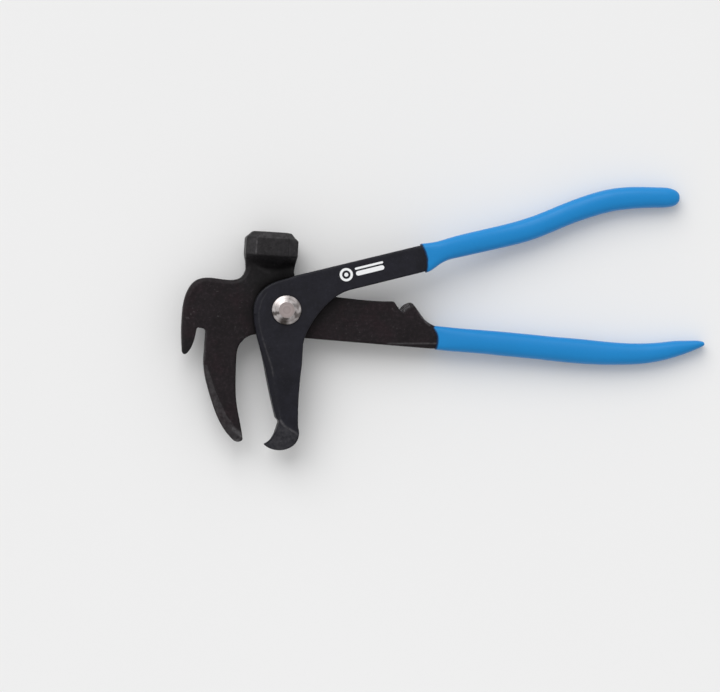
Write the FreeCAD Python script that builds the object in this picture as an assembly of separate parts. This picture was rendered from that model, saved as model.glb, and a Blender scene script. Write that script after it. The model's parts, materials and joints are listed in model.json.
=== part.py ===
import FreeCAD, Part
import math
import os

V = FreeCAD.Vector

# Wheel weight pliers with a hammer poll, lying flat.  All outlines are given from the pivot's centre, in
# millimetres: +X runs towards the handles, +Y towards the striking face and +Z out of the lever's side.
# The last step moves everything so that the origin is the centre of the whole tool's box.

# Layers across the joint.
WEB_BACK = -4.5          # back face of the hammer body's web
WEB_FRONT = 3.5          # front face of the web, which the lever turns on
PLATE_GAP = 0.1          # free play between the flat faces of the joint
LEVER_BACK = WEB_FRONT + PLATE_GAP
LEVER_FRONT = 10.6       # front face of the lever's boss and arm
EDGE_ROUND = 0.6         # radius along the lever's front edges
NOSE_ROUND = 2.0         # radius along the nose, left of the pivot
SHANK_ROUND = 0.8        # radius inside the front jaw and under the shank

# Hammer poll: an eight-sided block about this line of X.
POLL_X = -8.8
POLL_HALF = 13.0         # half of its width across the flats
POLL_CORNER = 5.0        # how far each long corner is cut back
POLL_TOP = 38.6          # height of the striking face
POLL_CHAMFER = 3.4       # chamfer round the striking face

# Serrated lobe behind the notch. Its toothed side is an arc about this centre.
LOBE = (63.5, 0.9)
LOBE_RADIUS = 6.8
LOBE_START = 158.5       # angle of the notch's bottom, in degrees
LOBE_END = 106.0
TEETH = 8
TOOTH_STEP = 6.5
GROOVE_DEPTH = 0.34      # how far each groove sinks below the bevel, along Z and along the radius
GROOVE_HALF = 0.62       # half of a cutter's width, above the bevel
BEVEL_LENGTH = 3.0       # length of the toothed bevel along the radius

# Pivot rivet and its washer.
SHAFT_RADIUS = 4.5
BORE_CLEARANCE = 0.05    # radial running clearance in the lever's bore
HEAD_RADIUS = 7.35
HEAD_FLAT = 3.9          # radius of the flat centre of the head
HEAD_RIM = 0.7           # height of the head's straight rim
HEAD_TOP = 13.0
WASHER_RADIUS = 7.5
WASHER_THICKNESS = 1.5
TAIL_RADIUS = 6.2
TAIL_HEIGHT = 1.8
TAIL_FLAT = 1.2          # radius of the small flat at the peened tail's tip

# Dipped vinyl grips.
GRIP_WALL = 1.0          # how far the steel core lies inside the grip, all round
SECTION_POINTS = 16      # points round one section of a handle


def outline(start, runs):
    """Closed wire. Each run continues from the last point: one point is a line, more are a smooth curve."""
    edges = []
    here = start
    for run in runs:
        points = [V(x, y, 0) for x, y in [here] + run]
        if len(points) == 2:
            edges.append(Part.LineSegment(points[0], points[1]).toShape())
        else:
            curve = Part.BSplineCurve()
            curve.interpolate(points)
            edges.append(curve.toShape())
        here = run[-1]
    if here != start:
        edges.append(Part.LineSegment(V(*here, 0), V(*start, 0)).toShape())
    return Part.Wire(edges)


def plate(wire, bottom, top):
    """Solid with this outline between two heights."""
    face = Part.Face(wire)
    face.translate(V(0, 0, bottom))
    return face.extrude(V(0, 0, top - bottom))


def edge_wedge(p, q, width, drop, height, side=1):
    """Cutter that planes off the edge left of the line p to q, sinking 'drop' over 'width' from 'height'.

    side is 1 for the front face and -1 for the back one.
    """
    along = V(q[0] - p[0], q[1] - p[1], 0)
    left = V(-along.y, along.x, 0).normalize()
    reach = 3.0
    start = V(p[0], p[1], height)
    low = start + left * (width * reach) - V(0, 0, side * drop * reach)
    corners = [start, low, low + V(0, 0, side * (drop * reach + 12)), start + V(0, 0, side * 12), start]
    return Part.Face(Part.makePolygon(corners)).extrude(along)


def octagon(y, half_x, half_z, corner_x, corner_z):
    """Eight-sided wire across the poll at this height, its corners cut back by these amounts."""
    inner_x = half_x - corner_x
    inner_z = half_z - corner_z
    quarter = [(inner_x, half_z), (half_x, inner_z)]
    ring = quarter + [(x, -z) for x, z in reversed(quarter)]
    ring += [(-x, -z) for x, z in quarter] + [(-x, z) for x, z in reversed(quarter)]
    points = [V(POLL_X + x, y, z) for x, z in ring]
    return Part.makePolygon(points + [points[0]])


def poll():
    """Hammer poll with its chamfered striking face and the waist that runs down to a point on the neck."""
    edge = POLL_TOP - POLL_CHAMFER
    face = POLL_HALF - POLL_CHAMFER
    sections = [
        octagon(17.0, 11.9, 2.8, 11.4, 0.6),
        octagon(20.2, 12.1, 4.0, 9.8, 1.4),
        octagon(22.6, 12.4, 6.6, 7.8, 3.0),
        octagon(24.6, 12.8, 10.2, 6.0, 5.4),
        octagon(26.4, POLL_HALF, POLL_HALF, POLL_CORNER, POLL_CORNER),
        octagon(edge, POLL_HALF, POLL_HALF, POLL_CORNER, POLL_CORNER),
        octagon(POLL_TOP, face, face, POLL_CORNER - 1, POLL_CORNER - 1),
    ]
    return Part.makeLoft(sections, True, True)


def lobe_point(angle, radius=LOBE_RADIUS):
    """Point on the lobe's round at this angle in degrees."""
    turn = math.radians(angle)
    return (LOBE[0] + radius * math.cos(turn), LOBE[1] + radius * math.sin(turn))


def web_outline():
    """Hammer body without its poll: neck, claw, clip slot, front jaw, shank, notch and lobe."""
    return outline((-20.6, 24.0), [
        # Neck and rounded nose, down to the claw's blunt tip.
        [(-20.8, 19.0), (-22.8, 15.0), (-28.0, 13.3), (-39.0, 13.8), (-45.0, 12.2), (-49.0, 7.0),
         (-51.1, -5.0), (-50.9, -14.5), (-50.1, -23.6)],
        [(-49.0, -25.0), (-47.4, -24.4)],
        [(-45.2, -20.6), (-44.1, -16.5), (-43.5, -11.9)],
        # Clip slot.
        [(-43.2, -11.5), (-42.6, -11.4)],
        [(-40.2, -11.6)],
        [(-39.3, -11.9), (-38.9, -12.8)],
        [(-39.1, -26.8)],
        # Front jaw: curved outer edge, flat-cut tip, inner edge and throat.
        [(-38.5, -32.3), (-34.4, -45.8), (-29.2, -57.4), (-21.7, -66.3)],
        [(-19.6, -66.9), (-17.2, -65.6)],
        [(-18.6, -59.0), (-21.6, -46.5), (-22.6, -35.0), (-22.9, -26.0), (-21.9, -19.0), (-18.4, -14.7),
         (-13.2, -13.0)],
        # Shank with its notch and lobe.
        [(9.8, -13.4)],
        [(74.0, -14.8)],
        [(79.5, -14.2)],
        [(79.5, -4.4)],
        [(75.6, -3.5), (71.6, -1.8), (67.4, 2.2), (63.9, 6.6)],
        [(62.9, 7.5), lobe_point(LOBE_END)],
        [lobe_point(132), lobe_point(LOBE_START)],
        [(54.6, 6.7)],
        [(54.1, 7.4), (53.2, 7.6)],
        [(43.5, 7.3), (27.9, 7.9), (16.0, 9.0), (7.4, 12.0), (3.7, 17.2), (3.2, 24.0)],
    ])


def groove(angle):
    """Small three-sided cutter across the lobe's bevel at this angle."""
    turn = math.radians(angle)
    out = V(math.cos(turn), math.sin(turn), 0)
    across = V(-math.sin(turn), math.cos(turn), 0)
    inner = V(*lobe_point(angle, LOBE_RADIUS - BEVEL_LENGTH), WEB_FRONT + 0.6)
    outer = V(*lobe_point(angle, LOBE_RADIUS + 0.6), WEB_FRONT - BEVEL_LENGTH)
    lift = (V(0, 0, 1) + out) * GROOVE_DEPTH
    ends = []
    for end in (inner, outer):
        corners = [end - lift, end + across * GROOVE_HALF + lift, end - across * GROOVE_HALF + lift]
        ends.append(Part.makePolygon(corners + [corners[0]]))
    return Part.makeLoft(ends, True, True)


def serrate(body):
    """Bevel the lobe's round towards the front and cut its fine radial teeth."""
    bevel_top = WEB_FRONT + 1.0
    bevel_low = WEB_FRONT - 2.4
    keep = Part.makeCone(LOBE_RADIUS + 0.4, LOBE_RADIUS - 3.4, bevel_top - bevel_low,
                         V(LOBE[0], LOBE[1], bevel_low), V(0, 0, 1))
    zone = plate(outline(LOBE, [[(56.6, 3.6)], [(57.4, 9.0)], [(64.4, 9.0)]]), bevel_low, bevel_top)
    body = body.cut(zone.cut(keep))
    for tooth in range(TEETH):
        body = body.cut(groove(LOBE_END + TOOTH_STEP * (tooth + 0.3)))
    return body


def handle_section(centre, direction, width, thickness, power):
    """Closed wire across a handle that runs along 'direction', from an ellipse at power 2 to nearly a box."""
    across = V(-direction.y, direction.x, 0)
    points = []
    for step in range(SECTION_POINTS):
        turn = 2 * math.pi * (step + 0.5) / SECTION_POINTS
        c = math.cos(turn)
        s = math.sin(turn)
        wide = math.copysign(abs(c) ** (2 / power), c) * width / 2
        high = math.copysign(abs(s) ** (2 / power), s) * thickness / 2
        points.append(centre + across * wide + V(0, 0, high))
    curve = Part.BSplineCurve()
    curve.interpolate(points, True)
    return Part.Wire([curve.toShape()])


def handle(stations, shrink=0.0):
    """Smooth bar through stations of (x, y, z, width, thickness, power), thinner by 'shrink' all round."""
    centres = [V(*station[:3]) for station in stations]
    wires = []
    for i, (_, _, _, width, thickness, power) in enumerate(stations):
        ahead = centres[min(i + 1, len(centres) - 1)]
        behind = centres[max(i - 1, 0)]
        direction = V(ahead.x - behind.x, ahead.y - behind.y, 0).normalize()
        size = (width - 2 * shrink, thickness - 2 * shrink, power)
        wires.append(handle_section(centres[i], direction, *size))
    return Part.makeLoft(wires, True, False)


# Stations along the two gripped handles: x, y, z of the centre, width in the flat, thickness along Z, and
# how square the section is.
LOWER_HANDLE = [
    (73.0, -9.2, -0.5, 12.0, 8.9, 5.0),
    (79.0, -9.3, -0.4, 11.9, 9.4, 4.0),
    (88.0, -9.6, -0.1, 11.9, 10.0, 3.0),
    (99.0, -9.8, 0.0, 11.9, 10.4, 2.6),
    (111.0, -10.2, 0.0, 12.1, 10.8, 2.5),
    (123.0, -10.6, 0.0, 12.2, 10.8, 2.5),
    (135.0, -11.1, 0.0, 12.3, 10.8, 2.5),
    (148.0, -11.5, 0.0, 12.5, 10.8, 2.5),
    (160.0, -11.7, 0.0, 11.8, 10.8, 2.5),
    (171.0, -11.5, 0.0, 11.0, 10.6, 2.5),
    (181.0, -10.7, 0.0, 10.3, 10.2, 2.5),
    (190.0, -9.1, 0.0, 9.2, 9.8, 2.5),
    (198.0, -7.1, 0.0, 7.8, 9.2, 2.5),
    (204.5, -5.5, 0.0, 5.6, 8.6, 2.5),
    (209.2, -4.3, 0.0, 3.5, 7.6, 2.5),
    (211.2, -4.0, 0.0, 1.8, 6.0, 2.5),
]
UPPER_HANDLE = [
    (65.0, 29.5, 7.1, 14.4, 7.8, 5.0),
    (70.0, 31.3, 7.0, 13.3, 8.0, 4.0),
    (75.0, 33.6, 6.6, 11.0, 8.8, 3.0),
    (83.0, 36.5, 5.2, 10.9, 9.8, 2.6),
    (93.0, 39.5, 3.1, 11.1, 10.4, 2.5),
    (102.0, 42.1, 1.5, 11.2, 10.6, 2.5),
    (111.0, 44.8, 0.5, 11.3, 10.8, 2.5),
    (120.0, 48.0, 0.1, 11.3, 10.8, 2.5),
    (129.5, 52.3, 0.0, 11.1, 10.8, 2.5),
    (138.5, 56.7, 0.0, 11.1, 10.8, 2.5),
    (147.0, 60.4, 0.0, 11.3, 10.8, 2.5),
    (156.0, 63.7, 0.0, 11.4, 10.8, 2.5),
    (165.0, 65.9, 0.0, 11.3, 10.6, 2.5),
    (174.0, 67.1, 0.0, 10.9, 10.5, 2.5),
    (182.5, 67.7, 0.0, 10.4, 10.3, 2.5),
    (189.5, 68.0, 0.0, 9.5, 9.8, 2.5),
    (193.0, 68.0, 0.0, 6.6, 7.8, 2.5),
    (194.3, 68.0, 0.0, 2.6, 4.0, 2.5),
]
CORE_STATIONS = slice(0, -1)     # the steel stops short of the grip's closed end


def rounded_web():
    """Web plate with its nose well rounded in front, and its jaw's inside and shank's underside a little."""
    web = plate(web_outline(), WEB_BACK, WEB_FRONT)
    long_edges = [e for e in web.Edges if e.BoundBox.ZMin > WEB_FRONT - 0.01 and e.Length > 50]
    nose = [e for e in long_edges if e.BoundBox.XMax < -15 and e.BoundBox.YMax > 0]
    web = web.makeFillet(NOSE_ROUND, nose)
    long_edges = [e for e in web.Edges if e.BoundBox.ZMin > WEB_FRONT - 0.01 and e.Length > 50]
    lower = [e for e in long_edges if e.BoundBox.YMax < -10 and e.BoundBox.XMax > -15]
    return web.makeFillet(SHANK_ROUND, lower)


def hammer_body():
    """Forged body: poll, claw, front jaw, shank and the core of the lower handle."""
    body = rounded_web().fuse(poll())
    for height, side in ((WEB_FRONT, 1), (WEB_BACK, -1)):
        # Ground bevels that thin the front jaw's outer edge, following its curve in three flats.
        for p, q in (((-18.0, -63.6), (-26.6, -53.6)), ((-25.8, -54.8), (-32.4, -42.2)),
                     ((-31.9, -43.4), (-37.6, -29.0))):
            lean = edge_wedge(p, q, 4.0, 2.3, height, side)
            body = body.cut(lean)
        # The claw thins to its tip.
        body = body.cut(edge_wedge((-43.0, -16.4), (-52.0, -16.8), 9.0, 2.4, height, side))
        # The shank's edges are planed away as it turns into the handle.
        body = body.cut(edge_wedge((84.0, -12.0), (46.0, -14.35), 3.4, 2.6, height, side))
        body = body.cut(edge_wedge((68.5, -1.2), (84.0, -8.2), 3.4, 2.6, height, side))
    body = serrate(body)
    body = body.fuse(handle(LOWER_HANDLE[CORE_STATIONS], GRIP_WALL))
    shaft = Part.makeCylinder(SHAFT_RADIUS, 60, V(0, 0, -30))
    return body.cut(shaft).removeSplitter()


def lever_outline():
    """Hook lever seen from the front: boss, arm, hook jaw."""
    return outline((3.8, 17.4), [
        [(-2.0, 15.2), (-8.0, 12.7), (-12.9, 8.6), (-15.8, 2.6), (-16.0, -3.4), (-14.9, -9.4), (-13.6, -14.4)],
        [(-8.4, -30.0)],
        [(-5.4, -41.5), (-1.8, -53.6)],
        [(0.0, -55.4)],
        # Inside of the hook, its point and its rounded heel.
        [(-1.0, -58.8), (-2.7, -63.4), (-6.9, -67.1)],
        [(-3.4, -69.2), (0.6, -69.9), (4.6, -69.2), (8.2, -66.9), (10.1, -63.4), (9.7, -58.0)],
        [(9.1, -50.0), (8.9, -38.0), (9.4, -27.0)],
        [(9.4, -16.5)],
        # Concave underside that runs out into the arm.
        [(10.4, -11.8), (13.4, -5.2), (18.4, 2.2), (24.2, 8.0), (33.0, 12.4)],
        [(66.4, 22.8)],
        [(69.4, 24.1), (73.4, 27.6)],
        [(70.4, 37.3)],
        [(64.0, 35.9)],
    ])


def jaw_side_profile():
    """Lever seen from its end: flat at the joint, then stepping back to the middle plane along the jaw."""
    points = [(60.0, LEVER_BACK), (60.0, LEVER_FRONT), (-33.0, LEVER_FRONT), (-56.0, 7.6), (-72.0, 6.6),
              (-72.0, -5.0), (-31.0, -4.5), (-21.5, LEVER_BACK)]
    corners = [V(-40, y, z) for y, z in points]
    return Part.Face(Part.makePolygon(corners + [corners[0]])).extrude(V(140, 0, 0))


def hook_lever():
    """Forged lever: hook jaw, boss, arm and the core of the upper handle."""
    lever = plate(lever_outline(), -6.0, LEVER_FRONT)
    front_edges = [e for e in lever.Edges if e.BoundBox.ZMin > LEVER_FRONT - 0.01]
    lever = lever.makeFillet(EDGE_ROUND, front_edges).common(jaw_side_profile())
    # Planed left flank of the jaw, and the ground facets that thin the hook to its point.
    lever = lever.cut(edge_wedge((3.2, -55.0), (-14.4, -2.8), 3.4, 3.6, LEVER_FRONT))
    lever = lever.cut(edge_wedge((10.8, -62.4), (-2.0, -54.6), 9.0, 4.2, 6.9).common(jaw_side_profile()))
    lever = lever.cut(edge_wedge((10.8, -63.4), (-2.0, -56.6), 9.0, 2.4, -5.0, -1))
    # The arm's edges are planed away as it turns into the handle.
    for height, side in ((LEVER_FRONT, 1), (LEVER_BACK, -1)):
        lever = lever.cut(edge_wedge((60.0, 34.8), (75.0, 36.2), 3.0, 2.4, height, side))
        lever = lever.cut(edge_wedge((79.0, 33.4), (64.5, 22.0), 3.0, 2.4, height, side))
    lever = lever.fuse(handle(UPPER_HANDLE[CORE_STATIONS], GRIP_WALL))
    bore = Part.makeCylinder(SHAFT_RADIUS + BORE_CLEARANCE, 60, V(0, 0, -30))
    return lever.cut(bore).removeSplitter()


def pivot_rivet():
    """Turned rivet: bevelled head in front, shaft through both forgings, peened tail behind the washer."""
    under_head = LEVER_FRONT + PLATE_GAP
    cone_base = under_head + HEAD_RIM
    washer_back = WEB_BACK - WASHER_THICKNESS
    tail_tip = washer_back - TAIL_HEIGHT
    dome = Part.Arc(V(TAIL_FLAT, 0, tail_tip), V(TAIL_RADIUS * 0.75, 0, tail_tip + TAIL_HEIGHT * 0.3),
                    V(TAIL_RADIUS, 0, washer_back))
    sides = [(TAIL_RADIUS, washer_back), (SHAFT_RADIUS, washer_back), (SHAFT_RADIUS, under_head),
             (HEAD_RADIUS, under_head), (HEAD_RADIUS, cone_base), (HEAD_FLAT, HEAD_TOP), (0, HEAD_TOP),
             (0, tail_tip), (TAIL_FLAT, tail_tip)]
    lines = Part.makePolygon([V(r, 0, z) for r, z in sides])
    profile = Part.Wire([dome.toShape()] + lines.Edges)
    return Part.Face(profile).revolve(V(0, 0, 0), V(0, 0, 1), 360)


def rivet_washer():
    """Flat washer between the hammer body's back and the peened tail."""
    base = V(0, 0, WEB_BACK - WASHER_THICKNESS)
    return Part.makeCylinder(WASHER_RADIUS, WASHER_THICKNESS, base).cut(
        Part.makeCylinder(SHAFT_RADIUS, WASHER_THICKNESS, base))


def grip(stations, edge, steel):
    """Dipped sleeve round a handle. edge is the curved outline of the part cut off at its open end."""
    sleeve = handle(stations).cut(plate(edge, -20, 20)).cut(steel)
    return max(sleeve.Solids, key=lambda solid: solid.Volume)


def main():
    body = hammer_body()
    lever = hook_lever()
    body_edge = outline((72.1, -2.0), [[(75.0, -5.6), (76.4, -9.6), (75.5, -17.0)], [(70.0, -17.0)],
                                       [(70.0, -2.0)]])
    lever_edge = outline((63.4, 38.5), [[(66.6, 33.6), (68.1, 28.8), (68.0, 21.0)], [(60.0, 18.0)],
                                        [(60.0, 38.5)]])
    nodes = {
        "hammer_body": body,
        "hook_lever": lever,
        "pivot_rivet": pivot_rivet(),
        "rivet_washer": rivet_washer(),
        "body_grip": grip(LOWER_HANDLE, body_edge, body),
        "lever_grip": grip(UPPER_HANDLE, lever_edge, lever),
    }
    box = Part.makeCompound(list(nodes.values())).optimalBoundingBox(False, False)
    centre = box.Center
    print("box", box.XLength, box.YLength, box.ZLength)
    print("pivot at", -centre.x, -centre.y, -centre.z)
    os.makedirs("parts", exist_ok=True)
    for name, shape in nodes.items():
        shape.translate(centre * -1)
        print(name, "solids", len(shape.Solids), "valid", shape.isValid(), "volume", round(shape.Volume, 1))
        shape.exportStep("parts/" + name + ".step")


main()
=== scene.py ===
import bmesh
import bpy
import json
import math
from mathutils import Matrix, Vector, noise
from mathutils.bvhtree import BVHTree


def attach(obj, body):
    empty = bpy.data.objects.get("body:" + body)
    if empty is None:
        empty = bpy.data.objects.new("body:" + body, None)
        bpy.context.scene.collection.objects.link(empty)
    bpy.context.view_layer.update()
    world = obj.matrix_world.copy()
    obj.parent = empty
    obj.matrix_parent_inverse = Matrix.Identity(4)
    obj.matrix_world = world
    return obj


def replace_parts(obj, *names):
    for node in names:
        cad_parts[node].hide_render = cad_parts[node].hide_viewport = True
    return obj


# Wheel weight pliers with a hammer poll, lying on a pale floor.  The scene is in metres, in the frame of
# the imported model: +X to the handle ends, +Y to the striking face, +Z out of the lever's side.  The
# measures below are in millimetres from the pivot, and the angles in degrees, unless they say otherwise.
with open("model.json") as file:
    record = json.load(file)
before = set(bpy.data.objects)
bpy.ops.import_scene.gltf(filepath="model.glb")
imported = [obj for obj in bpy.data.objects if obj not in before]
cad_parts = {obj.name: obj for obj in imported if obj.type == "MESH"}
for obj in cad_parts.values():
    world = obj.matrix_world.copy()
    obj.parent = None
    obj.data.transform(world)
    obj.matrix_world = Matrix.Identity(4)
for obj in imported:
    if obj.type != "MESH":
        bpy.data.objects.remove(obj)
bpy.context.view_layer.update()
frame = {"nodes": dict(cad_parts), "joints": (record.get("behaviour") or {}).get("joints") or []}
MM = 0.001
PIVOT = Vector(frame["joints"][0]["pos_m"])
LOBE = (63.5, 0.9)              # centre of the serrated lobe's round
BEVEL = (2.6, 8.4)              # radii between which its bevel lies
TOOTH_STEP = 6.5                # angle between its teeth
TOOTH_DEPTH = 0.36              # depth of the grooves between them
TOOTHED = (104.0, 160.0)        # angles between which its bevel is toothed
PRINT_LEVEL = (10.50, 10.62)    # heights of the printed mark's underside and face
SHAFT_RADIUS = 4.5              # radius of the rivet's shaft
HEAD_FLAT = 4.0                 # radius of the flat on the rivet's head
HEAD_SLOPE = 0.44               # how steeply the bevel round that flat falls away
FACE_WEAR = 33.0                # height in y from which the poll's striking face is worn

# The bevel's dark patches: middle and half width in degrees, and depth.
BURNT = ((200.0, 8.0, 0.9), (258.0, 19.0, 1.0), (337.0, 13.0, 0.8), (28.0, 13.0, 0.6), (88.0, 18.0, 0.5),
         (138.0, 26.0, 0.32), (305.0, 10.0, 0.3))

# The front jaw's outer edge is bevelled along these three lines.
JAW_FLATS = (((-18.0, -63.6), (-26.6, -53.6)), ((-25.8, -54.8), (-32.4, -42.2)),
             ((-31.9, -43.4), (-37.6, -29.0)))

# Patches of greyer scale: between two x, fading in with y from the third number to the fourth.
GREY_SCALE = ((-23.8, 6.2, 4.0, 16.0), (-53.0, -42.0, -15.0, -18.5))

# Painted shade on the neck, under the poll's overhang: middle in x and y, radius and share.
NECK_SHADE = ((-9.0, 16.0, 14.0, 0.35),)

# Thin lines of wear and of painted edge highlight: points in x and y, half width in millimetres, strength.
BODY_LINES = (
    (((-21.6, -66.4), (-16.0, -66.6), (-18.4, -63.2), (-22.6, -60.6)), 1.1, 0.9),
    (((-38.9, -13.2), (-39.0, -19.5), (-38.8, -27.0)), 0.35, 0.5),
    (((-17.0, 27.2), (-16.9, 35.2)), 0.45, 0.9),
    (((-16.4, 20.8), (-13.4, 19.6), (-9.6, 18.3)), 0.8, 0.14),
    (((52.0, -13.6), (77.0, -12.0)), 0.35, 0.75),
    (((65.8, 4.0), (68.2, 0.7), (70.3, -1.6), (72.4, -3.2)), 0.4, 0.9),
    (((55.4, 6.0), (58.2, 3.2)), 0.5, 0.5),
)
LEVER_LINES = (
    (((-10.2, 8.3), (-12.7, 3.6), (-13.7, -1.5), (-13.2, -7.4), (-11.1, -14.3)), 0.3, 0.2),
    (((-11.1, -14.3), (-8.2, -22.2), (-5.5, -29.0), (-4.6, -33.0)), 0.35, 0.4),
    (((0.6, -55.0), (2.4, -57.4), (7.1, -60.0), (10.2, -61.5)), 0.55, 0.9),
    (((-1.6, -60.5), (-0.2, -56.6)), 0.5, 0.6),
)

# Rims of the grips' mouths seen from the front, from one side of the handle to the other.
LOWER_MOUTH = ((72.1, -2.0), (73.8, -3.8), (75.0, -5.6), (75.9, -7.6), (76.3, -9.8), (76.3, -12.2),
               (75.5, -17.0))
UPPER_MOUTH = ((63.4, 38.5), (65.2, 36.2), (66.6, 33.6), (67.5, 31.2), (68.1, 28.8), (68.4, 25.4),
               (68.0, 21.0))

# The floor passes under the poll's back edge at FLOOR_X, and rises towards the handles' ends.
FLOOR_X = -0.8
FLOOR_LEVEL = -13.0
FLOOR_RISE = 8.68 / 205.0


def at(x, y, z=0.0):
    """Point of the scene, given in millimetres from the pivot's centre."""
    return PIVOT + Vector((x, y, z)) * MM


def millimetres(co):
    """Position of a vertex in millimetres from the pivot."""
    return (co - PIVOT) / MM


def held(value):
    """Value held between 0 and 1."""
    return min(1.0, max(0.0, value))


# ---------------------------------------------------------------------------------------------- materials

class Nodes:
    """Short names for building one material's node tree."""

    def __init__(self, name):
        self.material = bpy.data.materials.new(name)
        self.material.use_nodes = True
        self.tree = self.material.node_tree
        self.tree.nodes.clear()
        self.output = self.add("ShaderNodeOutputMaterial")
        self.shader = self.add("ShaderNodeBsdfPrincipled")
        self.tree.links.new(self.shader.outputs[0], self.output.inputs[0])
        self.place = self.add("ShaderNodeTexCoord").outputs["Object"]

    def add(self, kind, **settings):
        node = self.tree.nodes.new(kind)
        for key, value in settings.items():
            setattr(node, key, value)
        return node

    def put(self, socket, value):
        """Set a socket to a number or colour, or link it to another node's output."""
        if isinstance(value, bpy.types.NodeSocket):
            self.tree.links.new(value, socket)
        else:
            socket.default_value = value

    def noise(self, scale, detail=4.0, rough=0.55, where=None):
        node = self.add("ShaderNodeTexNoise")
        self.put(node.inputs["Vector"], where or self.place)
        self.put(node.inputs["Scale"], scale)
        self.put(node.inputs["Detail"], detail)
        self.put(node.inputs["Roughness"], rough)
        return node.outputs["Fac"]

    def ramp(self, value, *stops):
        """Colour ramp through (position, colour) stops."""
        node = self.add("ShaderNodeValToRGB")
        self.put(node.inputs[0], value)
        elements = node.color_ramp.elements
        while len(elements) < len(stops):
            elements.new(0.5)
        for element, (position, colour) in zip(elements, stops):
            element.position = position
            element.color = tone(colour)
        return node.outputs["Color"]

    def span(self, value, low, high, to_low, to_high):
        """Map a value from one range to another, held at the ends."""
        node = self.add("ShaderNodeMapRange")
        for socket, number in zip(node.inputs[:5], (value, low, high, to_low, to_high)):
            self.put(socket, number)
        return node.outputs[0]

    def math(self, operation, a, b):
        node = self.add("ShaderNodeMath", operation=operation)
        self.put(node.inputs[0], a)
        self.put(node.inputs[1], b)
        return node.outputs[0]

    def mix(self, factor, a, b, blend="MIX"):
        node = self.add("ShaderNodeMix", data_type="RGBA", blend_type=blend)
        self.put(node.inputs[0], factor)
        self.put(node.inputs[6], a)
        self.put(node.inputs[7], b)
        return node.outputs[2]

    def bump(self, height, strength, distance, below=None):
        node = self.add("ShaderNodeBump")
        self.put(node.inputs["Height"], height)
        self.put(node.inputs["Strength"], strength)
        self.put(node.inputs["Distance"], distance)
        if below is not None:
            self.put(node.inputs["Normal"], below)
        return node.outputs["Normal"]

    def set(self, **values):
        names = {"colour": "Base Color", "rough": "Roughness", "metal": "Metallic", "normal": "Normal",
                 "specular": "Specular IOR Level", "coat": "Coat Weight", "coat_rough": "Coat Roughness"}
        for key, value in values.items():
            self.put(self.shader.inputs[names[key]], value)
        return self.material


def tone(colour, share=1.0):
    """Colour scaled by a share, with full alpha."""
    return (*[c * share for c in colour], 1.0)


def attribute(nodes, name):
    """Value stored on the mesh under this name."""
    return nodes.add("ShaderNodeAttribute", attribute_name=name).outputs["Fac"]


def forging_material(name, dark, light, tint, worn, gloss, fleck):
    """Scaled black forging: mottled, finely pitted, tinted in patches, with edges, lines and facets of wear,
    grinding and painted highlight, and painted shade in creases and hollows.

    dark and light are the scale's two tones, tint its patches and worn the colour of steel showing through,
    which also paints the highlights. gloss is its least roughness, and fleck is how strong its grain is.
    """
    nodes = Nodes(name)
    mottle = nodes.noise(150.0, 6.0, 0.62)
    base = nodes.mix(nodes.span(mottle, 0.34, 0.66, 0.0, 1.0), tone(dark), tone(light))
    patch = nodes.span(nodes.noise(70.0, 5.0, 0.65), 0.50, 0.66, 0.0, 0.7)
    base = nodes.mix(patch, base, tone(tint))
    grey = sum(light) / 3.0
    base = nodes.mix(attribute(nodes, "cool"), base, tone((0.96, 0.95, 1.05), grey))
    grain = nodes.noise(620.0, 4.0, 0.75)
    base = nodes.mix(nodes.span(grain, 0.40, 0.62, fleck, 0.0), base, tone(dark, 0.25))
    base = nodes.mix(nodes.span(grain, 0.56, 0.74, 0.0, fleck), base, tone(light, 2.2))
    spots = nodes.math("MULTIPLY", nodes.span(nodes.noise(760.0, 3.0, 0.7), 0.62, 0.70, 0.0, 1.0),
                       nodes.span(nodes.noise(95.0, 3.0, 0.6), 0.52, 0.64, 0.0, fleck))
    base = nodes.mix(spots, base, tone(worn))
    # Painted shade: near-black in creases, round the joint and wherever metal around boxes the surface in.
    painted_shade = attribute(nodes, "painted_shade")
    base = nodes.mix(painted_shade, base, (0.0016, 0.0014, 0.0014, 1.0))
    # Steel showing on convex edges, thin lines and facets: partly wear and grinding, partly painted
    # highlight.
    edge = nodes.math("MULTIPLY", attribute(nodes, "edge"),
                      nodes.span(nodes.noise(520.0, 4.0, 0.65), 0.40, 0.64, 0.0, 0.35))
    rubbed_and_highlit = nodes.math("MULTIPLY", attribute(nodes, "rubbed_and_highlit"),
                        nodes.span(nodes.noise(480.0, 4.0, 0.7), 0.34, 0.60, 0.25, 1.0))
    ground = nodes.math("MULTIPLY", attribute(nodes, "ground"),
                        nodes.span(nodes.noise(380.0, 6.0, 0.75), 0.36, 0.64, 0.15, 1.0))
    bare_and_highlit = nodes.math("MAXIMUM", edge, nodes.math("MAXIMUM", rubbed_and_highlit, ground))
    base = nodes.mix(bare_and_highlit, base, tone(worn))
    # Painted highlight: tooth crests marked above 1 turn far brighter than the steel.
    bright = nodes.span(attribute(nodes, "ground"), 1.0, 2.0, 0.0, 1.0)
    base = nodes.mix(bright, base, tone(worn, 2.8))
    normal = nodes.bump(nodes.noise(900.0, 5.0, 0.65), 0.55, 0.00014)
    normal = nodes.bump(nodes.noise(230.0, 3.0, 0.5), 0.4, 0.0005, normal)
    rough = nodes.math("MAXIMUM", nodes.span(mottle, 0.3, 0.7, gloss, gloss + 0.14),
                       nodes.math("MULTIPLY", painted_shade, 0.95))
    return nodes.set(colour=base, rough=rough, metal=nodes.math("MULTIPLY", bare_and_highlit, 0.4), normal=normal,
                     specular=0.155)


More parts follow.
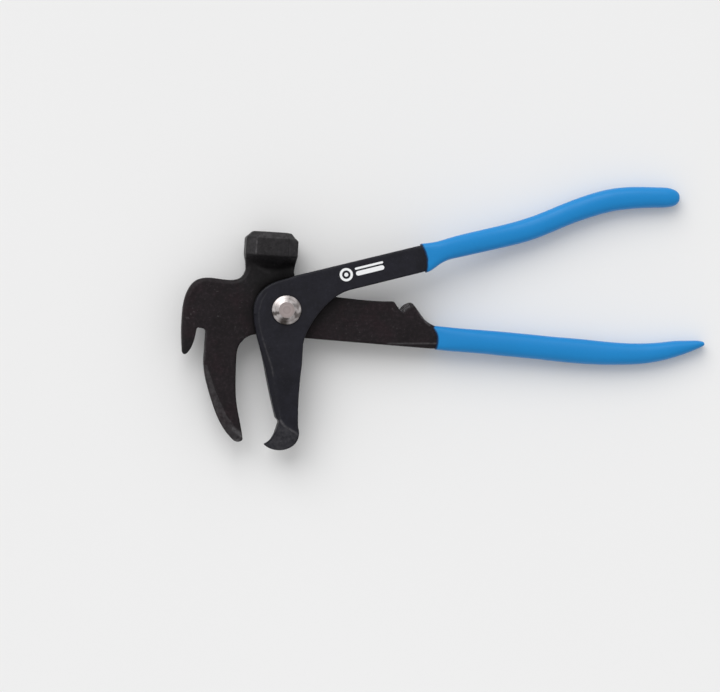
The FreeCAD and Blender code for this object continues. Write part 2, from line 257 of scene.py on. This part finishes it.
def vinyl_material(name, colour, edge_colour):
    """Dipped vinyl: even blue, faintly cloudy, orange-peel gloss, darker where it thins at its mouth."""
    nodes = Nodes(name)
    cloud = nodes.noise(45.0, 3.0, 0.5)
    base = nodes.mix(nodes.span(cloud, 0.3, 0.7, 0.0, 0.22), tone(colour), tone(colour, 0.8))
    fine = nodes.span(nodes.noise(600.0, 4.0, 0.6), 0.3, 0.7, 0.0, 0.10)
    base = nodes.mix(fine, base, tone(colour, 0.7))
    base = nodes.mix(attribute(nodes, "thin"), base, tone(edge_colour))
    peel = nodes.bump(nodes.noise(420.0, 2.0, 0.5), 0.12, 0.0002)
    rough = nodes.span(nodes.noise(90.0, 3.0, 0.5), 0.3, 0.7, 0.34, 0.44)
    return nodes.set(colour=base, rough=rough, normal=peel, specular=0.24, coat=0.03, coat_rough=0.3)


def turned_material(name):
    """Bright turned steel with rings about the pivot, slightly smoky in patches."""
    nodes = Nodes(name)
    centred = nodes.add("ShaderNodeVectorMath", operation="SUBTRACT")
    nodes.put(centred.inputs[0], nodes.place)
    nodes.put(centred.inputs[1], (PIVOT.x, PIVOT.y, 0.0))
    flat = nodes.add("ShaderNodeVectorMath", operation="MULTIPLY")
    nodes.put(flat.inputs[0], centred.outputs[0])
    nodes.put(flat.inputs[1], (1.0, 1.0, 0.0))
    radius = nodes.add("ShaderNodeVectorMath", operation="LENGTH")
    nodes.put(radius.inputs[0], flat.outputs[0])
    along = nodes.add("ShaderNodeCombineXYZ")
    nodes.put(along.inputs[0], radius.outputs["Value"])
    rings = nodes.noise(2600.0, 2.0, 0.6, along.outputs[0])
    smoke = nodes.noise(260.0, 4.0, 0.6)
    base = nodes.ramp(smoke, (0.3, (0.46, 0.42, 0.41)), (0.6, (0.71, 0.68, 0.68)))
    base = nodes.mix(attribute(nodes, "disc"), base, (0.49, 0.418, 0.410, 1.0))
    base = nodes.mix(nodes.span(rings, 0.4, 0.6, 0.0, 0.30), base, (0.33, 0.29, 0.28, 1.0))
    swirls = nodes.noise(1000.0, 3.0, 0.7, along.outputs[0])
    base = nodes.mix(nodes.span(swirls, 0.42, 0.62, 0.0, 0.45), base, (0.27, 0.22, 0.21, 1.0))
    burnt = nodes.math("MULTIPLY", attribute(nodes, "smoky"), nodes.span(smoke, 0.2, 0.6, 0.75, 1.0))
    base = nodes.mix(burnt, base, (0.060, 0.050, 0.045, 1.0))
    normal = nodes.bump(rings, 0.35, 0.00006)
    rough = nodes.math("MAXIMUM", nodes.span(smoke, 0.3, 0.7, 0.24, 0.36),
                       nodes.math("MULTIPLY", attribute(nodes, "disc"), 0.42))
    return nodes.set(colour=base, rough=rough, metal=1.0, normal=normal)


def print_material(name):
    """White pad-printed ink, slightly worn through."""
    nodes = Nodes(name)
    wear = nodes.noise(1800.0, 4.0, 0.7)
    base = nodes.mix(nodes.span(wear, 0.66, 0.78, 0.0, 0.6), (0.84, 0.85, 0.86, 1.0), (0.30, 0.30, 0.32, 1.0))
    return nodes.set(colour=base, rough=0.55, specular=0.3)


def floor_material():
    """Pale matt floor, very faintly cloudy."""
    nodes = Nodes("pale_floor")
    cloud = nodes.noise(3.0, 2.0, 0.5)
    white = (1.0, 1.0, 1.0)
    base = nodes.mix(nodes.span(cloud, 0.3, 0.7, 0.0, 1.0), tone(white, 0.855), tone(white, 0.865))
    return nodes.set(colour=base, rough=0.9, specular=0.0)


# ------------------------------------------------------------------------------------------------- meshes

def show(name, mesh, material, body):
    """Link a new piece, give it its material, and let it ride on a body."""
    piece = bpy.data.objects.new(name, mesh)
    bpy.context.scene.collection.objects.link(piece)
    mesh.materials.clear()
    mesh.materials.append(material)
    mesh.shade_smooth()
    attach(piece, body)
    return piece


def remeshed(nodes, voxel):
    """Even, closed mesh of one or more CAD nodes together, with its vertices a voxel apart."""
    grid = bmesh.new()
    for node in nodes:
        grid.from_mesh(frame["nodes"][node].data)
    bmesh.ops.remove_doubles(grid, verts=grid.verts, dist=1e-7)
    source = bpy.data.meshes.new("scratch")
    grid.to_mesh(source)
    grid.free()
    scratch = bpy.data.objects.new("scratch", source)
    bpy.context.scene.collection.objects.link(scratch)
    change = scratch.modifiers.new("remesh", "REMESH")
    change.mode = "VOXEL"
    change.voxel_size = voxel
    evaluated = scratch.evaluated_get(bpy.context.evaluated_depsgraph_get())
    mesh = bpy.data.meshes.new_from_object(evaluated)
    bpy.data.objects.remove(scratch)
    return mesh


def relax(work, rounds, share=0.5):
    """Move every vertex part of the way to the mean of its neighbours, a few times over."""
    for _ in range(rounds):
        means = [sum((e.other_vert(v).co for e in v.link_edges), Vector()) / len(v.link_edges)
                 for v in work.verts]
        for v, mean in zip(work.verts, means):
            v.co = v.co.lerp(mean, share)


def add_edge_layer(work, reach):
    """Store how sharply convex the surface is at each vertex, from 0 on a flat to 1 on an edge."""
    layer = work.verts.layers.float.new("edge")
    work.normal_update()
    for v in work.verts:
        mean = sum((e.other_vert(v).co for e in v.link_edges), Vector()) / len(v.link_edges)
        v[layer] = held((v.co - mean).dot(v.normal) / reach)
    for _ in range(2):
        spread = [max(sum(e.other_vert(v)[layer] for e in v.link_edges) / len(v.link_edges), v[layer] * 0.8)
                  for v in work.verts]
        for v, value in zip(work.verts, spread):
            v[layer] = value


def add_ground_layer(work, facets):
    """Store facets light partly from grinding and partly as painted highlight, at the front and back alike.

    Each facet gives its direction at the front, its box in x and y, and its share.
    """
    layer = work.verts.layers.float.new("ground")
    work.normal_update()
    for v in work.verts:
        x, y, _ = millimetres(v.co)
        normal = Vector((v.normal.x, v.normal.y, abs(v.normal.z)))
        for direction, (x0, y0, x1, y1), share in facets:
            if x0 < x < x1 and y0 < y < y1:
                match = (normal.dot(direction) - 0.965) / 0.02
                v[layer] = max(v[layer], share * held(match))


def tilted(p, q, width, drop):
    """Direction of a facet that falls away to the left of the line from p to q."""
    along = Vector((q[0] - p[0], q[1] - p[1], 0.0)).normalized()
    left = Vector((-along.y, along.x, 0.0))
    return (left * drop + Vector((0.0, 0.0, width))).normalized()


def cut_teeth(work):
    """Divide the lobe's bevel finely, press its radial teeth in, and paint crest highlights and groove shade.
    """
    def on_bevel(v):
        x, y, z = millimetres(v.co)
        reach = math.hypot(x - LOBE[0], y - LOBE[1])
        return BEVEL[0] < reach < BEVEL[1] and y > 3.2 and z > -0.8 and x < LOBE[0] + 3.4
    edges = [e for e in work.edges if all(on_bevel(v) for v in e.verts)]
    bmesh.ops.subdivide_edges(work, edges=edges, cuts=3, use_grid_fill=True)
    work.normal_update()
    moved = []
    for v in work.verts:
        if not on_bevel(v):
            continue
        x, y, _ = millimetres(v.co)
        angle = math.degrees(math.atan2(y - LOBE[1], x - LOBE[0]))
        wave = abs((angle / TOOTH_STEP) % 1.0 - 0.5) * 2.0
        inside = held((angle - TOOTHED[0]) / 2.0) * held((TOOTHED[1] - angle) / 2.0)
        slope = held((0.93 - v.normal.z) / 0.1) * held((v.normal.z - 0.15) / 0.2)
        share = inside * slope
        moved.append((v, v.normal * (-TOOTH_DEPTH * MM * (1.0 - wave) * share), wave, share))
    ground = work.verts.layers.float["ground"]
    painted_shade = work.verts.layers.float["painted_shade"]
    # Painted highlight on the teeth's crests and painted shade in their grooves.
    for v, step, wave, share in moved:
        v.co += step
        v[ground] = max(v[ground] * (1.0 - share), share * (2.4 * wave - 0.3))
        v[painted_shade] = v[painted_shade] + share * 0.8 * (1.0 - wave)


def add_cool_layer(work, patches):
    """Store where the scale is greyer.

    Each patch lies between two x, and fades in with y from start to full.
    """
    layer = work.verts.layers.float.new("cool")
    for v in work.verts:
        x, y, _ = millimetres(v.co)
        for x0, x1, start, full in patches:
            if x0 < x < x1:
                v[layer] = max(v[layer], 0.8 * held((y - start) / (full - start)))


def add_wear_and_highlight_layer(work, lines):
    """Store thin lines of wear and painted edge highlight: each has its points, half width and strength."""
    layer = work.verts.layers.float.new("rubbed_and_highlit")
    for points, half, strength in lines:
        spots = [Vector(p) for p in points]
        low = (min(p.x for p in spots) - 2.0, min(p.y for p in spots) - 2.0)
        high = (max(p.x for p in spots) + 2.0, max(p.y for p in spots) + 2.0)
        for v in work.verts:
            x, y, _ = millimetres(v.co)
            if v.normal.z < 0.35 or not (low[0] < x < high[0] and low[1] < y < high[1]):
                continue
            here = Vector((x, y))
            gap = min(segment_gap(here, p, q) for p, q in zip(spots, spots[1:]))
            v[layer] = max(v[layer], strength * held(1.5 - gap / half))


def segment_gap(here, p, q):
    """Distance from a point to a line between two others."""
    run = q - p
    share = held((here - p).dot(run) / run.length_squared)
    return (here - p - run * share).length


def ray_fan(rays):
    """Directions spread evenly over a dome about +Z, thinning out towards its rim."""
    fan = []
    for k in range(rays):
        height = math.sqrt((k + 0.5) / rays)
        turn = k * 2.399963
        flat = math.sqrt(1.0 - height * height)
        fan.append(Vector((flat * math.cos(turn), flat * math.sin(turn), height)))
    return fan


def add_painted_shade_layer(work, walls, reach, shade_spots):
    """Store painted shade: how boxed in each vertex is by the metal around it.

    The last argument lists more places painted in shade, each with its middle in x and y, its radius and its
    share.
    """
    layer = work.verts.layers.float.new("painted_shade")
    fan = ray_fan(14)
    for v in work.verts:
        turn = Vector((0.0, 0.0, 1.0)).rotation_difference(v.normal)
        start = v.co + v.normal * 0.25 * MM
        shut = 0.0
        for ray in fan:
            distance = walls.ray_cast(start, turn @ ray, reach)[3]
            if distance is not None:
                shut += 1.0 - 0.6 * distance / reach
        v[layer] = min(1.0, 1.7 * shut / len(fan))
    spread = [sum(e.other_vert(v)[layer] for e in v.link_edges) / len(v.link_edges) for v in work.verts]
    for v, value in zip(work.verts, spread):
        v[layer] = 0.5 * v[layer] + 0.5 * value
        x, y, _ = millimetres(v.co)
        # More painted shade at the listed places.
        for middle_x, middle_y, radius, share in shade_spots:
            away = math.hypot(x - middle_x, y - middle_y) / radius
            v[layer] = min(1.0, v[layer] + share * held(2.0 - 2.0 * away))


def wear_poll(work):
    """Wear the poll's striking face a little low, and lower still and rounder towards the handles."""
    for v in work.verts:
        x, y, _ = millimetres(v.co)
        if y > FACE_WEAR and x < 8.0:
            share = min(1.0, (y - FACE_WEAR) / 4.0)
            corner = held((x + 2.5) / 6.5)
            v.co.y -= share * (0.35 + 1.2 * corner * corner) * MM


def both_forgings():
    """Search tree of the hammer body and the lever together, as they lie at rest."""
    corners, faces = [], []
    for node in ("hammer_body", "hook_lever"):
        mesh = frame["nodes"][node].data
        first = len(corners)
        corners.extend(v.co.copy() for v in mesh.vertices)
        faces.extend([first + k for k in polygon.vertices] for polygon in mesh.polygons)
    return BVHTree.FromPolygons(corners, faces)


def forged(node, voxel, hammered, walls, facets, lines, shade_spots=(), toothed=False):
    """Forging with softly rounded edges and a faintly uneven skin, from the shape of its CAD node.

    voxel is the mesh's fineness and hammered the skin's unevenness, in metres. toothed adds what only the
    hammer body has: its lobe's teeth, its worn poll and its greyer scale.
    """
    mesh = remeshed((node,), voxel)
    work = bmesh.new()
    work.from_mesh(mesh)
    relax(work, 2)
    add_edge_layer(work, voxel * 0.35)
    add_ground_layer(work, facets)
    add_wear_and_highlight_layer(work, lines)
    add_painted_shade_layer(work, walls, 8.0 * MM, shade_spots)
    if toothed:
        add_cool_layer(work, GREY_SCALE)
        wear_poll(work)
    for v in work.verts:
        swell = noise.noise(v.co * 260.0) + 0.5 * noise.noise(v.co * 700.0)
        v.co -= v.normal * hammered * (swell + 1.5) / 3.0
    if toothed:
        cut_teeth(work)
    work.to_mesh(mesh)
    work.free()
    return mesh


def dipped(node, steel, mouth, outward):
    """Vinyl skin with a faintly wavy surface and a slightly ragged, thinned rim along its mouth.

    mouth is the rim seen from the front, as points from one side of the handle to the other.
    """
    mesh = remeshed((node, steel), 0.45 * MM)
    work = bmesh.new()
    work.from_mesh(mesh)
    along = Vector((outward[0], outward[1], 0.0))
    thin = work.verts.layers.float.new("thin")
    for v in work.verts:
        x, y, z = millimetres(v.co)
        ragged = 0.22 * noise.noise(Vector((x, y, z)) * 0.4) + 0.08 * noise.noise(Vector((x, y, z)) * 1.3)
        v[thin] = rim_distance(x, y, mouth, outward) + ragged
    bmesh.ops.delete(work, geom=[v for v in work.verts if v[thin] < -0.25], context="VERTS")
    keep_largest(work)
    relax(work, 2)
    for v in {v for e in work.edges if e.is_boundary for v in e.verts}:
        v.co -= along * v[thin] * MM
        v[thin] = 0.0
    work.normal_update()
    for v in work.verts:
        v[thin] = held((1.05 - v[thin]) / 0.5)
        wave = noise.noise(v.co * 55.0) * 0.07 + noise.noise(v.co * 300.0) * 0.015 + 0.09
        v.co -= v.normal * wave * MM
    close_mouth(work, along)
    work.to_mesh(mesh)
    work.free()
    return mesh


def keep_largest(work):
    """Delete all but the largest connected part of a mesh."""
    unseen = set(work.verts)
    parts = []
    while unseen:
        stack = [unseen.pop()]
        part = set(stack)
        while stack:
            for e in stack.pop().link_edges:
                for v in e.verts:
                    if v in unseen:
                        unseen.discard(v)
                        part.add(v)
                        stack.append(v)
        parts.append(part)
    largest = max(parts, key=len)
    bmesh.ops.delete(work, geom=[v for v in work.verts if v not in largest], context="VERTS")


def close_mouth(work, along):
    """Turn the open rim a little inwards, towards the middle of the handle, and close it."""
    thin = work.verts.layers.float["thin"]
    ring = open_rim(work)
    for depth, back in ((0.3, 0.12), (0.9, 0.0)):
        middle = sum((v.co for v in ring), Vector()) / len(ring)
        inner = []
        for v in ring:
            inward = middle - v.co
            inward -= along * inward.dot(along)
            inner.append(work.verts.new(v.co + (inward.normalized() * depth - along * back) * MM))
            inner[-1][thin] = v[thin]
        for corners in zip(ring, ring[1:] + ring[:1], inner[1:] + inner[:1], inner):
            work.faces.new(corners)
        ring = inner
    work.faces.new(ring)
    bmesh.ops.recalc_face_normals(work, faces=work.faces)


def open_rim(work):
    """Vertices of the mesh's one open rim, in order round it."""
    edge = next(e for e in work.edges if e.is_boundary)
    ring = [edge.verts[0]]
    spot = edge.verts[1]
    while spot != ring[0]:
        ring.append(spot)
        edge = next(e for e in spot.link_edges if e.is_boundary and e != edge)
        spot = edge.other_vert(spot)
    return ring


def rim_distance(x, y, mouth, outward):
    """How far a point lies from the rim, in millimetres, measured along the handle."""
    side = Vector((-outward[1], outward[0]))
    here = Vector((x, y))
    spot = here.dot(side)
    rim = sorted((Vector(p).dot(side), Vector(p).dot(Vector(outward))) for p in mouth)
    level = rim[0][1] if spot < rim[0][0] else rim[-1][1]
    for (s0, level0), (s1, level1) in zip(rim, rim[1:]):
        if s0 <= spot <= s1:
            level = level0 + (level1 - level0) * (spot - s0) / (s1 - s0)
    return here.dot(Vector(outward)) - level


def lathe(profile, steps):
    """Closed round mesh about the pivot from a loop of (radius, height) points in millimetres."""
    work = bmesh.new()
    rings = []
    for radius, height in profile:
        if radius == 0.0:
            rings.append([work.verts.new(at(0.0, 0.0, height))])
            continue
        ring = []
        for step in range(steps):
            turn = 2.0 * math.pi * step / steps
            ring.append(work.verts.new(at(radius * math.cos(turn), radius * math.sin(turn), height)))
        rings.append(ring)
    for low, high in zip(rings, rings[1:] + rings[:1]):
        if len(low) == len(high) == 1:
            continue
        for step in range(steps):
            after = (step + 1) % steps
            if len(low) == 1:
                corners = [low[0], high[after], high[step]]
            elif len(high) == 1:
                corners = [low[step], low[after], high[0]]
            else:
                corners = [low[step], low[after], high[after], high[step]]
            work.faces.new(corners)
    bmesh.ops.recalc_face_normals(work, faces=work.faces)
    mesh = bpy.data.meshes.new("lathe")
    work.to_mesh(mesh)
    work.free()
    return mesh


def arc(centre, radius, start, end, steps):
    """Profile points round an arc, angles in degrees from the radial direction."""
    turns = [math.radians(start + (end - start) * k / steps) for k in range(steps + 1)]
    return [(centre[0] + radius * math.cos(t), centre[1] + radius * math.sin(t)) for t in turns]


def rivet_mesh():
    """Rivet: flat-topped head with a polished bevel, both faintly ringed, its shaft, and a peened tail."""
    head_top = 12.93
    under_head = 10.72
    washer_back = -6.0
    tail_tip = -7.78
    head = []
    for step in range(71):
        radius = 0.1 + step * 0.1
        height = head_top - max(0.0, radius - HEAD_FLAT) * HEAD_SLOPE
        ring = 0.010 * math.sin(radius * 9.0) + 0.006 * math.sin(radius * 23.0 + 1.0)
        head.append((radius, height + ring))
    rim = [(7.25, 11.36), (7.32, 11.2), (7.32, 10.86), (7.2, under_head)]
    shaft = [(SHAFT_RADIUS, under_head), (SHAFT_RADIUS, washer_back)]
    tail = arc((4.7, -6.6), 1.2, 20.0, -60.0, 8) + [(3.0, -7.7), (1.4, tail_tip), (0.0, tail_tip)]
    profile = [(0.0, head_top)] + head + rim + shaft + tail
    mesh = lathe(profile, 192)
    smoky = mesh.attributes.new("smoky", "FLOAT", "POINT")
    disc = mesh.attributes.new("disc", "FLOAT", "POINT")
    for v, smoke, flat in zip(mesh.vertices, smoky.data, disc.data):
        x, y, z = millimetres(v.co)
        radius = math.hypot(x, y)
        on_head = z > under_head + 0.08
        smoke.value = smoke_at(math.degrees(math.atan2(y, x)), radius) if on_head else 0.4
        flat.value = held((HEAD_FLAT - radius) / 0.3) if on_head else 0.0
    return mesh


def smoke_at(angle, radius):
    """How darkened the rivet's head is, in burnt patches round its polished bevel."""
    if radius < HEAD_FLAT:
        return 0.08
    angle += 14.0 * noise.noise(Vector((math.cos(math.radians(angle)), radius * 0.8, 3.0)))
    depth = 0.0
    for middle, half, most in BURNT:
        turn = abs((angle - middle + 180.0) % 360.0 - 180.0) / half
        depth = max(depth, most * held(1.6 - turn))
    return depth


def washer_mesh():
    """Flat washer with softened rims."""
    outer = arc((7.2, -4.8), 0.25, 90.0, 0.0, 4) + arc((7.2, -5.7), 0.25, 0.0, -90.0, 4)
    inner = [(4.7, -5.95), (4.56, -5.8), (4.56, -4.7), (4.7, -4.55)]
    return lathe(outer + inner, 160)


def slab(outline_points, bottom, top):
    """Thin closed plate with this outline, in millimetres from the pivot."""
    work = bmesh.new()
    low = [work.verts.new(at(x, y, bottom)) for x, y in outline_points]
    high = [work.verts.new(at(x, y, top)) for x, y in outline_points]
    work.faces.new(low[::-1])
    work.faces.new(high)
    for k in range(len(low)):
        after = (k + 1) % len(low)
        work.faces.new([low[k], low[after], high[after], high[k]])
    mesh = bpy.data.meshes.new("slab")
    work.to_mesh(mesh)
    work.free()
    return mesh


def rounded_bar(centre, length, height, lean):
    """Outline of a bar with rounded ends."""
    points = []
    for sign, start in ((1.0, -90.0), (-1.0, 90.0)):
        for step in range(9):
            turn = math.radians(start + 180.0 * step / 8)
            x = sign * (length - height) / 2 + height / 2 * math.cos(turn)
            y = height / 2 * math.sin(turn)
            points.append((x, y))
    cos, sin = math.cos(lean), math.sin(lean)
    return [(centre[0] + x * cos - y * sin, centre[1] + x * sin + y * cos) for x, y in points]


def printed_mark(ink):
    """Plain printed mark on the arm: a ring with a dot, and two bars beside it."""
    lean = math.radians(17.2)
    along = Vector((math.cos(lean), math.sin(lean)))
    up = Vector((-along.y, along.x))
    ring_centre = Vector((28.6, 19.3))
    bottom, top = PRINT_LEVEL
    shapes = []
    ring = lathe([(3.3, top), (3.3, bottom), (2.1, bottom), (2.1, top)], 72)
    for v in ring.vertices:
        v.co += Vector((ring_centre.x, ring_centre.y, 0.0)) * MM
    shapes.append(("print_ring", ring))
    turns = [2.0 * math.pi * k / 36 for k in range(36)]
    dot = [(ring_centre.x + math.cos(t), ring_centre.y + math.sin(t)) for t in turns]
    shapes.append(("print_dot", slab(dot, bottom, top)))
    start, end = 4.8, 19.3
    for name, rise, height in (("print_upper_bar", 1.75, 1.1), ("print_lower_bar", -0.75, 2.3)):
        centre = ring_centre + along * ((start + end) / 2) + up * rise
        shapes.append((name, slab(rounded_bar(tuple(centre), end - start, height, lean), bottom, top)))
    for name, mesh in shapes:
        piece = show(name, mesh, ink, "lever")
        piece.data.shade_flat()


def tilted_jaw_flats():
    """Facets of grinding and painted highlight along the front jaw's curved outer edge, bevelled in three
    flats.
    """
    box = (-45.0, -70.0, -12.0, -26.0)
    return [(tilted(p, q, 4.0, 2.3), box, 0.5) for p, q in JAW_FLATS]


def lobe_facets():
    """Facets of grinding and painted highlight round the lobe's toothed bevel."""
    box = (55.0, 2.0, 67.0, 9.5)
    turns = [math.radians(degrees) for degrees in (110.0, 122.0, 134.0, 146.0, 158.0)]
    return [(Vector((math.cos(turn), math.sin(turn), 1.0)).normalized(), box, 0.5) for turn in turns]


def poll_facets():
    """Poll facets of grinding and painted highlight: its front chamfer, its two front corners and its front
    flat.
    """
    return [
        (Vector((0.0, 0.707, 0.707)), (-20.0, 34.0, 2.0, 40.0), 0.50),
        (Vector((-0.707, 0.0, 0.707)), (-23.0, 25.0, -15.0, 36.0), 0.40),
        (Vector((0.707, 0.0, 0.707)), (-2.0, 25.0, 6.0, 36.0), 0.30),
        (Vector((0.0, 0.0, 1.0)), (-17.0, 26.0, 0.0, 36.0), 0.20),
    ]


def forgings():
    """The two black forgings: hammer body and hook lever."""
    walls = both_forgings()
    body_steel = forging_material("body_forging", (0.0100, 0.0072, 0.0086), (0.0165, 0.0115, 0.0140),
                                  (0.0190, 0.0090, 0.0120), (0.090, 0.086, 0.090), 0.42, 0.45)
    facets = tilted_jaw_flats() + lobe_facets() + poll_facets()
    shape = forged("hammer_body", 0.5 * MM, 0.05 * MM, walls, facets, BODY_LINES, NECK_SHADE, True)
    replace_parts(show("hammer_forging", shape, body_steel, "body"), "hammer_body")
    lever_steel = forging_material("lever_forging", (0.0103, 0.0102, 0.0143), (0.0146, 0.0145, 0.0212),
                                   (0.0118, 0.0114, 0.0172), (0.095, 0.093, 0.100), 0.38, 0.18)
    # Facet along the lever jaw's edge, light partly from grinding and partly as painted highlight.
    facets = [(tilted((10.8, -62.4), (-2.0, -54.6), 9.0, 4.2), (-8.0, -71.0, 12.0, -50.0), 0.42)]
    shape = forged("hook_lever", 0.5 * MM, 0.03 * MM, walls, facets, LEVER_LINES)
    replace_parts(show("lever_forging", shape, lever_steel, "lever"), "hook_lever")


def grips():
    """The two dipped vinyl grips."""
    vinyl = vinyl_material("blue_vinyl", (0.008, 0.232, 0.585), (0.002, 0.020, 0.065))
    lower = dipped("body_grip", "hammer_body", LOWER_MOUTH, (1.0, 0.0))
    upper = dipped("lever_grip", "hook_lever", UPPER_MOUTH, (0.956, 0.295))
    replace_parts(show("body_vinyl", lower, vinyl, "body"), "body_grip")
    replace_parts(show("lever_vinyl", upper, vinyl, "lever"), "lever_grip")


def pivot():
    """The turned rivet and its washer."""
    steel = turned_material("turned_steel")
    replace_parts(show("turned_rivet", rivet_mesh(), steel, "body"), "pivot_rivet")
    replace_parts(show("turned_washer", washer_mesh(), steel, "body"), "rivet_washer")


def stage():
    """Pale floor on which the tool really rests, by the poll's back edge and the ends of both handles."""
    size = 6.0
    mesh = bpy.data.meshes.new("floor")
    corners = [(-size, -size, 0.0), (size, -size, 0.0), (size, size, 0.0), (-size, size, 0.0)]
    mesh.from_pydata(corners, [], [(0, 1, 2, 3)])
    mesh.materials.append(floor_material())
    floor = bpy.data.objects.new("floor", mesh)
    bpy.context.scene.collection.objects.link(floor)
    floor.location = at(FLOOR_X, 0.0, FLOOR_LEVEL)
    floor.rotation_euler = (0.0, -math.atan(FLOOR_RISE), 0.0)


def lighting():
    """Soft sky, dim overhead and bright towards the horizon, with one broad key light from the upper left."""
    world = bpy.data.worlds.new("studio")
    bpy.context.scene.world = world
    world.use_nodes = True
    nodes = world.node_tree.nodes
    links = world.node_tree.links
    place = nodes.new("ShaderNodeTexCoord")
    split = nodes.new("ShaderNodeSeparateXYZ")
    links.new(place.outputs["Generated"], split.inputs[0])
    # The sky's strength is 0.78 up to about 20 degrees above the horizon, and fades to 0.60 overhead.
    fade = nodes.new("ShaderNodeMapRange")
    links.new(split.outputs[2], fade.inputs[0])
    for socket, number in zip(fade.inputs[1:5], (0.35, 1.0, 0.78, 0.60)):
        socket.default_value = number
    # It is also brighter on the poll's side, to the upper left, and dimmer on the other.
    facing = nodes.new("ShaderNodeVectorMath")
    facing.operation = "DOT_PRODUCT"
    links.new(place.outputs["Generated"], facing.inputs[0])
    facing.inputs[1].default_value = (-0.35, 0.94, 0.0)
    tilt = nodes.new("ShaderNodeMapRange")
    links.new(facing.outputs["Value"], tilt.inputs[0])
    for socket, number in zip(tilt.inputs[1:5], (-0.9, 0.9, 0.75, 1.25)):
        socket.default_value = number
    strength = nodes.new("ShaderNodeMath")
    strength.operation = "MULTIPLY"
    links.new(fade.outputs[0], strength.inputs[0])
    links.new(tilt.outputs[0], strength.inputs[1])
    sky = nodes["Background"]
    sky.inputs[0].default_value = (1.0, 1.0, 1.0, 1.0)
    links.new(strength.outputs[0], sky.inputs[1])
    key = bpy.data.lights.new("key", "SUN")
    key.energy = 1.35
    key.angle = math.radians(50.0)
    lamp = bpy.data.objects.new("key", key)
    bpy.context.scene.collection.objects.link(lamp)
    towards_key = Vector((-0.42, 0.80, 0.9))
    lamp.rotation_mode = "QUATERNION"
    lamp.rotation_quaternion = towards_key.to_track_quat("Z", "Y")


def camera():
    """Long lens above the tool, turned so that the tool leans a little clockwise in the picture."""
    distance = 2.5
    width = 0.3588
    data = bpy.data.cameras.new("camera")
    data.sensor_width = 36.0
    data.lens = data.sensor_width * distance / width
    data.clip_end = 50.0
    look_at = at(38.5, -15.6, 0.0)
    lean = math.radians(5.0)
    roll = math.radians(3.5)
    back = Vector((-math.sin(lean), 0.0, math.cos(lean)))
    up = Vector((-math.sin(roll), math.cos(roll), 0.0))
    up = (up - back * up.dot(back)).normalized()
    right = up.cross(back)
    turn = Matrix((right, up, back)).transposed().to_4x4()
    camera_object = bpy.data.objects.new("camera", data)
    bpy.context.scene.collection.objects.link(camera_object)
    camera_object.matrix_world = Matrix.Translation(look_at + back * distance) @ turn
    bpy.context.scene.camera = camera_object


forgings()
grips()
pivot()
printed_mark(print_material("white_print"))
stage()
lighting()
camera()
bpy.context.scene.view_settings.view_transform = "Standard"
